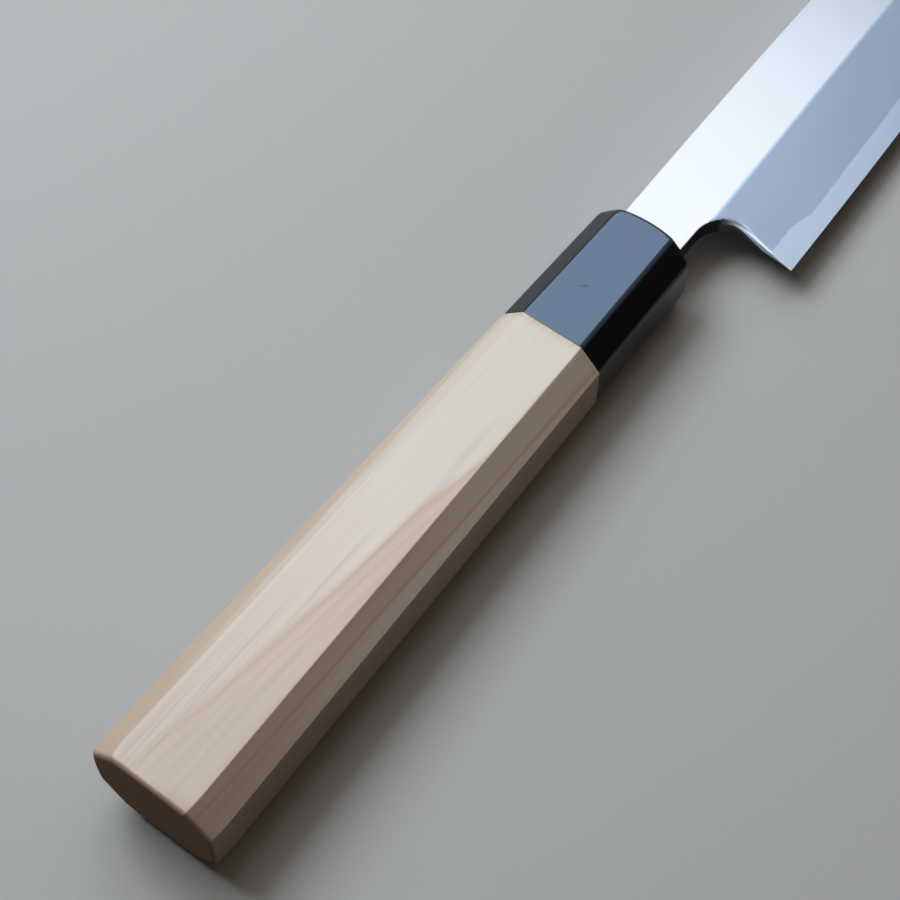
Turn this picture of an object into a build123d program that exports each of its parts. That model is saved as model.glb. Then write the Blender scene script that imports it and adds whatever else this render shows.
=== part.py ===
"""A right-handed yanagiba, the long single-bevel knife for raw fish, lying on its flat back.

The origin is the centre of the butt's end face, on the handle's long axis. +X runs along the
handle to the tip, +Y from the cutting edge to the spine and +Z out of the bevelled face.
Stations are distances along X, heights are along Y and thicknesses are along Z.
"""

from build123d import *
from math import cos, radians, sin
import os

os.makedirs("parts", exist_ok=True)

# Handle: an eight-sided taper of magnolia wood with a horn ferrule at its front
handle_length = 146.0
ferrule_length = 32.5
butt_height = 26.8
butt_thickness = 20.3
butt_corner = 5.0
front_height = 21.1
front_thickness = 18.3
front_corner = 4.4
ridge_radius = 0.35
ferrule_ridge_radius = 1.1
butt_rim_radius = 0.9
ferrule_rim_radius = 1.4

# Round tenon of the wood, which passes right through the bored ferrule
tenon_diameter = 14.0
ferrule_clearance = 0.05

# Tang of the blade, driven hot into the handle
tang_length = 98.0
tang_height = 9.4
tang_thickness = 3.4
tail_height = 4.0
tail_thickness = 1.8
tang_clearance = 0.12
tang_hole_spare = 4.0

# Seal poured round the tang in the mouth of its hole
seal_depth = 2.5
seal_border = 1.1
seal_corner_radius = 1.0

# Blade, from the shoulders that meet the handle to the tip
blade_length = 269.0
blade_thickness = 4.1
distal_taper = 2.4
eased_edge_radius = 0.3

# Spine line: its height over the handle's axis, and how it bends down to the tip
neck_above_axis = 7.65
spine_rise = 6.5
spine_arch = 10.2
tip_above_axis = 0.2

# Neck and choil, the cut-away between the handle and the heel
neck_below_axis = 6.4
neck_length = 15.2
choil_radius = 6.5
heel_lean = 1.3

# Cutting edge: its depth under the handle's axis at the heel, and how it rises to the tip
heel_below_axis = 25.12
edge_rise = 3.7
edge_belly = 12.9

# Ridge line between the flat and the bevel
shinogi_below_axis = 7.45
shinogi_rise = 6.9
shinogi_sweep = 4.2

# Hard steel forge-welded under the soft iron
steel_layer = 1.05
steel_start = 5.0

# Hollow ground into the back, and the flat rims left along it
hollow_depth = 0.35
spine_rim = 2.2
edge_rim = 1.6
hollow_heel_gap = 5.0
hollow_tip_gap = 14.0

# How far a cut runs past what it cuts
overrun = 2.0

# Powers of the curves, how many steps their sections take, and shares of a length
blade_steps = 16
tip_bend_power = 8
belly_power = 2
sweep_power = 10
swell_power = 4
bevel_margin_share = 0.5
hollow_end_share = 0.01
rim_shares = (0, 0.25, 0.5, 0.75, 1)
corner_shrink_share = 2 - 2**0.5

# Places that follow from the sizes above
joint_station = handle_length - ferrule_length
face_station = handle_length
tip_station = face_station + blade_length
choil_station = face_station + neck_length
heel_station = choil_station - heel_lean
tenon_radius = tenon_diameter / 2
back_level = -blade_thickness / 2


def handle_section(station, ridge, inset=0):
    """Give the handle's eight-sided section at a station, with eased ridges, drawn in by an inset."""
    share = station / handle_length
    height = butt_height + (front_height - butt_height) * share
    thickness = butt_thickness + (front_thickness - butt_thickness) * share
    corner = butt_corner + (front_corner - butt_corner) * share
    with BuildSketch(Plane.YZ.offset(station)) as section:
        Rectangle(height - 2 * inset, thickness - 2 * inset)
        chamfer(section.vertices(), corner - corner_shrink_share * inset)
        fillet(section.vertices(), ridge)
    return section.sketch


def handle_bar(first_station, last_station, ridge):
    """Add the tapered eight-sided bar between two stations."""
    loft([handle_section(first_station, ridge), handle_section(last_station, ridge)])


def rounded_end(station, radius, towards, ridge):
    """Add a quarter-round rim that closes the bar at a station, towards the front (+1) or rear (-1)."""
    sections = []
    for share in rim_shares:
        angle = radians(90 * share)
        setback = radius * (1 - sin(angle))
        inset = radius * (1 - cos(angle))
        sections.append(handle_section(station - towards * setback, ridge, inset))
    loft(sections)


def tang_form(growth, length, mode=Mode.ADD):
    """Add or cut the tang's taper, grown by a clearance, to a length behind the handle's face."""
    with BuildSketch(Plane.YZ.offset(face_station)) as root:
        Rectangle(tang_height + 2 * growth, tang_thickness + 2 * growth)
    with BuildSketch(Plane.YZ.offset(face_station - length)) as tail:
        Rectangle(tail_height + 2 * growth, tail_thickness + 2 * growth)
    loft([root.sketch, tail.sketch], mode=mode)


def seal_outline():
    """Add the seal's outline to the sketch being made."""
    RectangleRounded(
        tang_height + 2 * seal_border,
        tang_thickness + 2 * seal_border,
        seal_corner_radius,
    )


def blade_share(station):
    """Give how far a station lies from the handle's face to the tip, from 0 to 1."""
    return (station - face_station) / blade_length


def spine_line(station):
    """Give the spine's height over the handle's axis."""
    share = blade_share(station)
    bend = neck_above_axis + spine_rise - spine_arch - tip_above_axis
    straight = neck_above_axis + spine_rise * share
    return straight - spine_arch * share**belly_power - bend * share**tip_bend_power


def edge_line(station):
    """Give the cutting edge's height, which is negative up to the tip."""
    share = (station - heel_station) / (tip_station - heel_station)
    sweep = heel_below_axis + tip_above_axis - edge_rise - edge_belly
    straight = edge_rise * share - heel_below_axis
    return straight + edge_belly * share**belly_power + sweep * share**sweep_power


def shinogi_line(station):
    """Give the height of the ridge between the flat and the bevel."""
    share = blade_share(station)
    return shinogi_rise * share - shinogi_below_axis + shinogi_sweep * share**tip_bend_power


def flat_level(station):
    """Give the level of the blade's flat, which comes down as the blade thins to the tip."""
    return back_level + blade_thickness - distal_taper * blade_share(station)


def stations_between(first, last):
    """Give evenly spaced stations from first to last."""
    return [first + (last - first) * step / blade_steps for step in range(blade_steps + 1)]


def blade_blank():
    """Add the forged plate: neck, choil and spine to size, with stock past the edge."""
    spine_points = [(x, spine_line(x)) for x in stations_between(face_station, tip_station + overrun)]
    stock_height = -heel_below_axis - overrun
    lean = heel_lean / (heel_below_axis - neck_below_axis)
    foot_station = heel_station - overrun * lean
    inner_corner = (choil_station, -neck_below_axis)
    with BuildSketch(Plane.XY.offset(back_level)) as outline:
        with BuildLine():
            spine = Spline(spine_points)
            Polyline(
                spine @ 1,
                (tip_station + overrun, stock_height),
                (foot_station, stock_height),
                inner_corner,
                (face_station, -neck_below_axis),
                spine @ 0,
            )
        make_face()
        fillet(outline.vertices().sort_by_distance(inner_corner)[0], choil_radius)
    extrude(outline.sketch, amount=blade_thickness)


def thin_towards_tip():
    """Cut the flat so that the blade thins evenly from the handle to the tip."""
    far_station = tip_station + 2 * overrun
    with BuildSketch(Plane.XZ) as waste:
        Polygon(
            (face_station, flat_level(face_station)),
            (far_station, flat_level(far_station)),
            (far_station, flat_level(face_station) + overrun),
            (face_station, flat_level(face_station) + overrun),
            align=None,
        )
    extrude(waste.sketch, amount=heel_below_axis + 2 * overrun, both=True, mode=Mode.SUBTRACT)


def bevel_section(station):
    """Give what the bevel grinds away at a station: all that lies above the ground face."""
    edge_point = Vector(edge_line(station), back_level)
    ridge_point = Vector(shinogi_line(station), flat_level(station))
    margin = (ridge_point - edge_point) * bevel_margin_share
    low = edge_point - margin
    high = ridge_point + margin
    beyond = -heel_below_axis - 2 * overrun - margin.X
    with BuildSketch(Plane.YZ.offset(station)) as section:
        Polygon((low.X, low.Y), (high.X, high.Y), (beyond, high.Y), (beyond, low.Y), align=None)
    return section.sketch


def grind_bevel():
    """Cut the single bevel from the ridge line down to the edge."""
    stations = stations_between(heel_station - choil_radius, tip_station + 2 * overrun)
    loft([bevel_section(station) for station in stations], mode=Mode.SUBTRACT)


def hollow_section(share):
    """Give the back's shallow hollow at a share of its length, narrower and shallower at its ends."""
    first = choil_station + hollow_heel_gap
    last = tip_station - hollow_tip_gap
    station = first + (last - first) * share
    swell = (1 - abs(2 * share - 1) ** swell_power) ** 0.5
    low = edge_line(station) + edge_rim
    high = spine_line(station) - spine_rim
    middle = (low + high) / 2
    reach = (high - low) / 2 * swell
    with BuildSketch(Plane.YZ.offset(station)) as section:
        with BuildLine():
            start = (middle - reach, back_level)
            end = (middle + reach, back_level)
            ThreePointArc(start, (middle, back_level + hollow_depth * swell), end)
            below = back_level - overrun
            Polyline(end, (middle + reach, below), (middle - reach, below), start)
        make_face()
    return section.sketch


def grind_hollow():
    """Cut the hollow of the back, which leaves flat rims along the spine and the edge."""
    inner_shares = [step / blade_steps for step in range(1, blade_steps)]
    shares = [hollow_end_share, *inner_shares, 1 - hollow_end_share]
    loft([hollow_section(share) for share in shares], mode=Mode.SUBTRACT)


def ground_blade(blade):
    """Add the whole ground blade, without its tang, to the part being built."""
    blade_blank()
    thin_towards_tip()
    for face in (blade.faces().sort_by(Axis.Z)[-1], blade.faces().sort_by(Axis.Z)[0]):
        spine_edge = face.edges().sort_by(Axis.Y)[-1]
        neck_edges = face.edges().filter_by_position(Axis.X, face_station, choil_station, (False, True))
        fillet([spine_edge, *neck_edges], eased_edge_radius)
    grind_bevel()
    grind_hollow()


def hard_steel_layer(mode):
    """Keep or cut the layer along the back that is hard steel."""
    with BuildSketch(Plane.XY.offset(back_level - overrun)) as layer:
        with Locations((face_station + steel_start, 0)):
            Rectangle(
                blade_length,
                2 * (heel_below_axis + 2 * overrun),
                align=(Align.MIN, Align.CENTER),
            )
    extrude(layer.sketch, amount=overrun + steel_layer, mode=mode)


# Wooden handle with its tenon and the burned-in hole for the tang
with BuildPart() as wood_handle:
    handle_bar(butt_rim_radius, joint_station, ridge_radius)
    rounded_end(0, butt_rim_radius, -1, ridge_radius)
    with BuildSketch(Plane.YZ.offset(joint_station)):
        Circle(tenon_radius)
    extrude(amount=ferrule_length)
    tang_form(tang_clearance, tang_length + tang_hole_spare, Mode.SUBTRACT)
    with BuildSketch(Plane.YZ.offset(face_station)):
        seal_outline()
    extrude(amount=-seal_depth, mode=Mode.SUBTRACT)
wood_handle.part.label = "wood_handle"
export_step(wood_handle.part, "parts/wood_handle.step")

# Horn ferrule, bored through for the tenon and rounded at its front rim
with BuildPart() as horn_ferrule:
    handle_bar(joint_station, face_station - ferrule_rim_radius, ferrule_ridge_radius)
    rounded_end(face_station, ferrule_rim_radius, 1, ferrule_ridge_radius)
    with BuildSketch(Plane.YZ.offset(joint_station - overrun)):
        Circle(tenon_radius + ferrule_clearance)
    extrude(amount=ferrule_length + 2 * overrun, mode=Mode.SUBTRACT)
horn_ferrule.part.label = "horn_ferrule"
export_step(horn_ferrule.part, "parts/horn_ferrule.step")

# Seal of resin in the mouth of the tang's hole
with BuildPart() as tang_seal:
    with BuildSketch(Plane.YZ.offset(face_station)):
        seal_outline()
    extrude(amount=-seal_depth)
    tang_form(0, tang_length, Mode.SUBTRACT)
tang_seal.part.label = "tang_seal"
export_step(tang_seal.part, "parts/tang_seal.step")

# Soft iron of the blade, forged in one with the tang
with BuildPart() as blade_iron:
    ground_blade(blade_iron)
    hard_steel_layer(Mode.SUBTRACT)
    tang_form(0, tang_length)
blade_iron.part.label = "blade_iron"
export_step(blade_iron.part, "parts/blade_iron.step")

# Hard steel of the blade, which forms the back and the cutting edge
with BuildPart() as edge_steel:
    ground_blade(edge_steel)
    hard_steel_layer(Mode.INTERSECT)
edge_steel.part.label = "edge_steel"
export_step(edge_steel.part, "parts/edge_steel.step")
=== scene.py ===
"""Looks of a right-handed yanagiba: its blade, ferrule, handle and seal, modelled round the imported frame.

Everything is in metres in the frame of the part: +X from the butt to the tip, +Y from the cutting
edge to the spine, +Z out of the bevelled face. Stations are distances along X.
"""

import logging
import math
from dataclasses import dataclass
from enum import Enum
from typing import Callable

import bmesh
import bpy
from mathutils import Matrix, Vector


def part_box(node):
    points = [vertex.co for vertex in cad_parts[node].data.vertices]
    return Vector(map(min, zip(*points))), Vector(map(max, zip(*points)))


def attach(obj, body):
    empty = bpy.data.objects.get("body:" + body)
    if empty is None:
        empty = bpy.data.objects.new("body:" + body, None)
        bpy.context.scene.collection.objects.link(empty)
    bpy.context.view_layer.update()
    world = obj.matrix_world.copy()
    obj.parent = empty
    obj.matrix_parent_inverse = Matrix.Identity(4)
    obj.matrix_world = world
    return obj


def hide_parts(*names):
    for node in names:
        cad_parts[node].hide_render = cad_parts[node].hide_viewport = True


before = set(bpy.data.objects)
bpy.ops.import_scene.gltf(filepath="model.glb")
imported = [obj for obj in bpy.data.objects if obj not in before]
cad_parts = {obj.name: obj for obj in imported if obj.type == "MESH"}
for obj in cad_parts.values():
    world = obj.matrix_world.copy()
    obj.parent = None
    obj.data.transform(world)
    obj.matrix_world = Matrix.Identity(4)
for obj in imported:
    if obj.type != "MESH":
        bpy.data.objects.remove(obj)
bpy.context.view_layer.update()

MM = 0.001
FACE = 146 * MM  # The station where the handle ends and the blade begins.
NEAR = 0.002 * MM  # Places this close count as one.
TINY = NEAR / 100  # Differences this small are left out.
ALONG_SHARE = 0.9  # How nearly an edge has to run along the axis, where 1 is exactly.
RIDGE_TURN = math.radians(45)  # How far the faces turn from one to the next round the handle.
RIDGE_SEGMENTS = 5
SMOOTH_ANGLE = math.radians(32)
FLAT_WEIGHT = 50
BLACK = (0.0, 0.0, 0.0)
BODY = "root"
Pair = tuple[float, float]
Triple = tuple[float, float, float]
Span = tuple[float, ...]  # The two ends of a range, and what they become if that isn't 0 and 1.
Socket = bpy.types.NodeSocket
Test = Callable[[Vector], bool]
Action = Callable[[float], None]
log = logging.getLogger("yanagiba")


class Kind(Enum):
    """What a pick selects: the name of the select mode and of the mesh's list."""

    POINTS = ("VERT", "verts")
    EDGES = ("EDGE", "edges")
    FACES = ("FACE", "faces")


def middle(face: bmesh.types.BMFace) -> Vector:
    """Give the mean place of a face's points."""
    return sum((point.co for point in face.verts), Vector()) / len(face.verts)


def passes(element: bmesh.types.BMEdge | bmesh.types.BMFace, test: Test) -> bool:
    """Tell whether all points of an edge or a face pass a test of their place."""
    return all(test(point.co) for point in element.verts)


def at(station: float) -> Test:
    """Make the test of whether a place lies at a station."""
    return lambda place: abs(place.x - station) < NEAR


def runs_along(edge: bmesh.types.BMEdge) -> bool:
    """Tell whether an edge runs along the handle."""
    return abs((edge.verts[1].co - edge.verts[0].co).normalized().x) > ALONG_SHARE


def clamp(value: float) -> float:
    """Hold a value between 0 and 1."""
    return min(1.0, max(0.0, value))


def between(first: tuple[float, ...], last: tuple[float, ...], share: float) -> tuple[float, ...]:
    """Give the sizes that lie a share of the way from the first ones to the last ones."""
    return tuple(start + (end - start) * share for start, end in zip(first, last))


class Bench:
    """A mesh on the bench, started from a primitive and shaped in edit mode by operators."""

    def __init__(self, name: str) -> None:
        """Set the name that the finished piece gets."""
        self.name = name

    def start_block(self, low: Vector, high: Vector) -> None:
        """Start from a block between its lowest and its highest corner."""
        bpy.ops.object.select_all(action="DESELECT")
        bpy.ops.mesh.primitive_cube_add(size=1, location=(low + high) / 2, scale=high - low)
        self._settle()

    def start_grid(self, columns: int, rows: int) -> None:
        """Start from a flat unit grid with a number of columns and rows of faces."""
        bpy.ops.object.select_all(action="DESELECT")
        bpy.ops.mesh.primitive_grid_add(x_subdivisions=columns, y_subdivisions=rows, size=1)
        self._settle()

    def _settle(self) -> None:
        """Put the new object's place into its mesh, name it and go into edit mode."""
        bpy.ops.object.transform_apply(location=True, rotation=True, scale=True)
        self.piece = bpy.context.object
        self.piece.name = self.piece.data.name = self.name
        bpy.ops.object.mode_set(mode="EDIT")

    def mesh(self) -> bmesh.types.BMesh:
        """Give the mesh as it stands in edit mode."""
        mesh = bmesh.from_edit_mesh(self.piece.data)
        mesh.verts.ensure_lookup_table()
        return mesh

    def pick(self, kind: Kind, test: Callable[..., bool]) -> None:
        """Select only the elements that pass a test.

        Args:
            kind: Which elements are looked at.
            test: Tells of one element whether it is wanted.
        """
        word, name = kind.value
        bpy.ops.mesh.select_mode(type=word)
        bpy.ops.mesh.select_all(action="DESELECT")
        mesh = self.mesh()
        for element in getattr(mesh, name):
            if test(element):
                element.select_set(True)
        mesh.select_flush_mode()
        bmesh.update_edit_mesh(self.piece.data)

    def pick_end(self, station: float) -> None:
        """Select the faces that lie across the axis at a station."""
        self.pick(Kind.FACES, lambda face: passes(face, at(station)))

    def pick_opening(self) -> None:
        """Select the edges round every opening."""
        self.pick(Kind.EDGES, lambda edge: edge.is_boundary)

    def shift(self, shifts: dict[int, Vector]) -> None:
        """Move points one by one, each by the shift given for its number."""
        bpy.ops.mesh.select_mode(type="VERT")
        for number, shift in shifts.items():
            if shift.length > TINY:
                bpy.ops.mesh.select_all(action="DESELECT")
                self.mesh().verts[number].select_set(True)
                bpy.ops.transform.translate(value=shift)

    def place(self, test: Test, target: Callable[[Vector], Vector]) -> None:
        """Move points one by one.

        Args:
            test: Tells of a point's place whether it moves.
            target: Gives the new place from the old one.
        """
        points = [point for point in self.mesh().verts if test(point.co)]
        self.shift({point.index: target(point.co.copy()) - point.co for point in points})

    def resize(self, height: float, thickness: float, centre: Vector) -> None:
        """Scale what is selected across the handle.

        Args:
            height: The factor along Y.
            thickness: The factor along Z.
            centre: The place that stays.
        """
        bpy.ops.transform.resize(value=(1, height, thickness), center_override=centre)

    def extrude(self, shift: Vector) -> None:
        """Extrude what is selected by a shift."""
        bpy.ops.mesh.extrude_region_move(TRANSFORM_OT_translate={"value": shift})

    def bevel(self, width: float, segments: int) -> None:
        """Round the selected edges over a width on each side, in a number of faces."""
        bpy.ops.mesh.bevel(offset=width, segments=segments, affect="EDGES", clamp_overlap=False)

    def cut(self, place: Vector, normal: Vector, part: bool = False) -> None:
        """Cut all faces where a plane meets them.

        Args:
            place: A place on the plane.
            normal: The plane's normal.
            part: Whether what lies on the normal's side goes and the cut is closed.
        """
        bpy.ops.mesh.select_all(action="SELECT")
        bpy.ops.mesh.bisect(plane_co=place, plane_no=normal, use_fill=part, clear_outer=part, threshold=TINY)

    def merge(self) -> None:
        """Join points that meet, and turn every face outwards."""
        bpy.ops.mesh.select_mode(type="VERT")
        bpy.ops.mesh.select_all(action="SELECT")
        bpy.ops.mesh.remove_doubles(threshold=NEAR)
        bpy.ops.mesh.select_all(action="SELECT")
        bpy.ops.mesh.normals_make_consistent(inside=False)

    def pierce(self, first: float, last: float, add_loop: Action) -> None:
        """Put a hole through a bar.

        Args:
            first: The station of its rear end face.
            last: The station of its front end face.
            add_loop: Adds the closed edge of the hole at a station.
        """
        self.open_onto(first, add_loop)
        self.open_onto(last, add_loop)
        self.pick_opening()
        bpy.ops.mesh.bridge_edge_loops()

    def open_onto(self, station: float, add_loop: Action) -> None:
        """Turn the end face at a station into a ring, whose inner edge an action adds there."""
        self.pick_end(station)
        bpy.ops.mesh.delete(type="ONLY_FACE")
        self.fill_round(station, add_loop)

    def fill_round(self, station: float, add_loop: Action) -> None:
        """Add a closed edge at a station and fill the ring between it and the open edge there."""
        bpy.ops.mesh.select_all(action="DESELECT")
        add_loop(station)
        self.pick(Kind.EDGES, lambda edge: len(edge.link_faces) < 2 and passes(edge, at(station)))
        bpy.ops.mesh.fill()

    def finish(self, *materials: bpy.types.Material) -> bpy.types.Object:
        """Leave edit mode, shade the piece and give it its materials.

        Args:
            materials: The materials for the piece's slots, in order.

        Returns:
            The finished object.
        """
        self.merge()
        bpy.ops.object.mode_set(mode="OBJECT")
        for material in materials:
            self.piece.data.materials.append(material)
        bpy.ops.object.shade_smooth_by_angle(angle=SMOOTH_ANGLE)
        weighted = self.piece.modifiers.new("flat_faces_stay_flat", "WEIGHTED_NORMAL")
        weighted.keep_sharp = True
        weighted.weight = FLAT_WEIGHT
        bpy.ops.object.modifier_apply(modifier=weighted.name)
        return self.piece


def add_circle(radius: float, points: int) -> Action:
    """Make the action that adds a circle round the handle's axis at a station."""
    return lambda station: bpy.ops.mesh.primitive_circle_add(
        radius=radius, vertices=points, location=(station, 0, 0), rotation=(0, math.pi / 2, 0)
    )


def add_rectangle(height: float, thickness: float, corner: float, segments: int) -> Action:
    """Make the action that adds a rectangle with rounded corners across the handle's axis.

    Args:
        height: Its size along Y.
        thickness: Its size along Z.
        corner: The reach of its rounded corners.
        segments: How many edges a corner has.

    Returns:
        An action that adds the rectangle's edge at a station.
    """

    def act(station: float) -> None:
        """Add the rectangle at a station."""
        centre = Vector((station, 0, 0))
        bpy.ops.mesh.primitive_plane_add(size=1, location=centre, rotation=(0, math.pi / 2, 0))
        bpy.ops.transform.resize(value=(1, height, thickness), center_override=centre)
        bpy.ops.mesh.bevel(offset=corner, segments=segments, affect="VERTICES", clamp_overlap=False)
        bpy.ops.mesh.delete(type="ONLY_FACE")

    return act


@dataclass(frozen=True)
class Noise:
    """A noise pattern, with its scale in cycles per metre along each axis, turned about Z."""

    scale: Triple
    detail: float = 2
    roughness: float = 0.5
    turn: float = 0


class Nodes:
    """A node tree, with short calls for the nodes that the finishes and the world use."""

    def __init__(self, tree: bpy.types.NodeTree, surface: str) -> None:
        """Take a tree and find its surface node by name."""
        self.tree = tree
        self.surface = tree.nodes[surface]

    def add(self, kind: str, inputs: dict | None = None, **settings: object) -> bpy.types.Node:
        """Add a node.

        Args:
            kind: The node's type name.
            inputs: Values or sockets for its inputs, by name or number.
            settings: Values of the node's own settings.

        Returns:
            The new node.
        """
        node = self.tree.nodes.new(kind)
        for key, value in settings.items():
            setattr(node, key, value)
        for key, value in (inputs or {}).items():
            self.feed(node.inputs[key], value)
        return node

    def feed(self, socket: Socket, value: object) -> None:
        """Link a socket to an input, or set the input's value."""
        if isinstance(value, Socket):
            self.tree.links.new(value, socket)
        elif socket.type == "RGBA" and len(value) == 3:
            socket.default_value = (*value, 1)
        else:
            socket.default_value = value

    def set(self, **values: object) -> None:
        """Set or link the surface node's inputs, named with underscores for spaces."""
        for key, value in values.items():
            self.feed(self.surface.inputs[key.replace("_", " ")], value)

    def maths(
        self, operation: str, first: object, second: object, third: object = 0.0, clamped: bool = False
    ) -> Socket:
        """Give the result of one arithmetic operation on numbers or sockets, held to 0 to 1 if clamped."""
        inputs = {0: first, 1: second, 2: third}
        return self.add("ShaderNodeMath", inputs, operation=operation, use_clamp=clamped).outputs[0]

    def measure(self, operation: str, first: Socket, second: Triple) -> Socket:
        """Give the distance or the dot product of two vectors."""
        return self.add("ShaderNodeVectorMath", {0: first, 1: second}, operation=operation).outputs["Value"]

    def span(self, value: Socket, low: float, high: float, first: float = 0.0, last: float = 1.0) -> Socket:
        """Map a value smoothly from one range to another, held at both ends."""
        inputs = {"Value": value, "From Min": low, "From Max": high, "To Min": first, "To Max": last}
        return self.add("ShaderNodeMapRange", inputs, interpolation_type="SMOOTHSTEP").outputs["Result"]

    def blend(self, share: object, first: object, second: object) -> Socket:
        """Mix two colours by a share."""
        return self.add("ShaderNodeMix", {0: share, 6: first, 7: second}, data_type="RGBA").outputs[2]

    def looked_at(self) -> Socket:
        """Give 1 for rays of the camera, of gloss and of see-through things, and 0 for all others."""
        rays = self.add("ShaderNodeLightPath").outputs
        gloss = self.maths("MAXIMUM", rays["Is Glossy Ray"], rays["Is Transmission Ray"])
        return self.maths("MAXIMUM", rays["Is Camera Ray"], gloss)


class Graph(Nodes):
    """A material's node tree, with patterns in the object's coordinates."""

    def __init__(self, name: str) -> None:
        """Start a material with one principled shader."""
        self.material = bpy.data.materials.new(name)
        self.material.use_nodes = True
        super().__init__(self.material.node_tree, "Principled BSDF")
        self.place = self.add("ShaderNodeTexCoord").outputs["Object"]
        self.x, self.y, self.z = self.add("ShaderNodeSeparateXYZ", {0: self.place}).outputs

    def noise(self, pattern: Noise) -> Socket:
        """Give a noise from 0 to 1."""
        inputs = {"Vector": self.place, "Scale": pattern.scale, "Rotation": (0, 0, pattern.turn)}
        vector = self.add("ShaderNodeMapping", inputs).outputs["Vector"]
        inputs = {"Vector": vector, "Scale": 1.0, "Detail": pattern.detail, "Roughness": pattern.roughness}
        return self.add("ShaderNodeTexNoise", inputs).outputs["Fac"]

    def swing(self, pattern: Noise, reach: float) -> Socket:
        """Give a noise's swing round its middle, times a reach."""
        return self.maths("MULTIPLY", self.maths("SUBTRACT", self.noise(pattern), 0.5), reach)

    def bump(self, height: Socket, depth: float, strength: float) -> None:
        """Raise the surface by a height from 0 to 1 times a depth."""
        inputs = {"Height": height, "Distance": depth, "Strength": strength}
        self.set(Normal=self.add("ShaderNodeBump", inputs).outputs["Normal"])


@dataclass(frozen=True)
class Speck:
    """A small dark mark on a surface, with its sizes in millimetres."""

    place: Triple
    radius: float
    core: float = 0.3

    def mask(self, graph: Graph) -> Socket:
        """Give 1 in the speck's core and 0 outside it."""
        gap = graph.measure("DISTANCE", graph.place, tuple(part * MM for part in self.place))
        return graph.span(gap, self.core * self.radius * MM, self.radius * MM, 1, 0)


@dataclass(frozen=True)
class GrowthLine:
    """A line between the wood's layers, sharp above and soft below, with its sizes in millimetres."""

    height: float
    width: float
    strength: float
    fade_above: float = 0.4

    def mask(self, graph: Graph, level: Socket) -> Socket:
        """Give the line's strength where the height through the layers is its own, and 0 away from it."""
        height, width = self.height * MM, self.width * MM
        rise = graph.span(level, height - width, height, 0, self.strength)
        fall = graph.span(level, height, height + width * self.fade_above, 1, 0)
        return graph.maths("MULTIPLY", rise, fall)


@dataclass(frozen=True)
class Finish:
    """The finish of one kind of surface."""

    name: str

    def paint(self, graph: Graph) -> None:
        """Set the look of the surface in a graph."""
        raise NotImplementedError

    def material(self) -> bpy.types.Material:
        """Build the finish's material."""
        graph = Graph(self.name)
        self.paint(graph)
        return graph.material


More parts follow.
